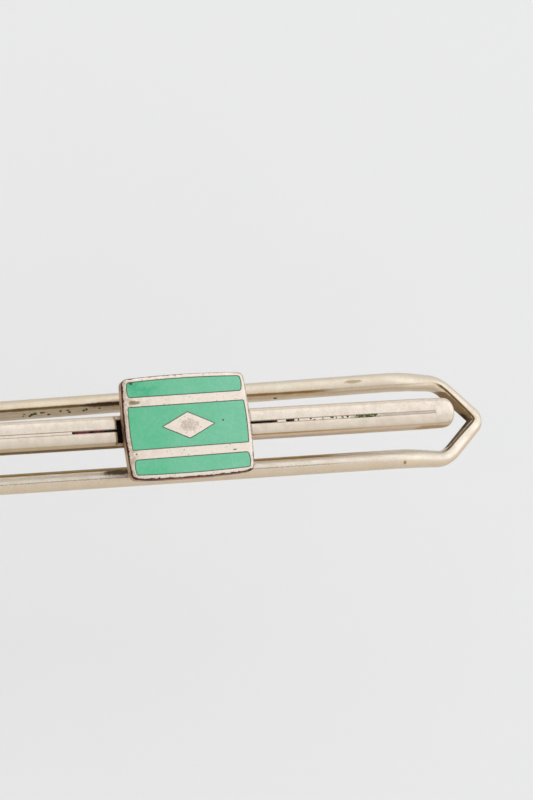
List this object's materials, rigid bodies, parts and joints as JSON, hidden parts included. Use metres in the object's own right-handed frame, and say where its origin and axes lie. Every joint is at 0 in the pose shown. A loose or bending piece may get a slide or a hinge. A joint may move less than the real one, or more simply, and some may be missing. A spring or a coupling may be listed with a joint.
{
  "type": "tie bar",
  "caption": "Tie bar: a grooved hollow front bar with an enamelled rectangular plaque, and a sprung wire loop with a pointed end behind it that grips the tie.",
  "frame": {"origin": "centre of the base of the object's box: the middle in X and Y, at the back of the wire loop in Z", "axes": "+X along the bar to the pointed end of the loop, +Y across the bar to the plaque's top edge, +Z from the loop to the plaque's face"},
  "size_m": [0.0644, 0.0102, 0.0076],
  "materials": {
    "bar_metal": "worn silver plate over brass, softly polished",
    "plaque_metal": "silver-plated face with red-brown tarnished edges",
    "enamel": "opaque jade-green enamel, gently glossy",
    "solder": "dull grey solder",
    "wire_metal": "worn silver plate over spring wire, with specks of verdigris"
  },
  "bodies": {
    "bar": {"front_bar": "bar_metal", "plaque_plate": "plaque_metal", "enamel_top_band": "enamel", "enamel_centre_field": "enamel", "enamel_bottom_band": "enamel", "plaque_solder": "solder", "wire_tails": "wire_metal", "tail_solder": "solder", "spring_bends": "wire_metal"},
    "loop": {"wire_loop": "wire_metal"}
  },
  "joints": [
    {"name": "spring_flex", "type": "hinge", "parent": "bar", "child": "loop", "pos_m": [-0.03036, 0, 0.00277], "axis": [0, 1, 0], "range_deg": [0, 5], "stiffness_Nm_per_rad": 2, "deforming": ["spring_bends"]}
  ]
}
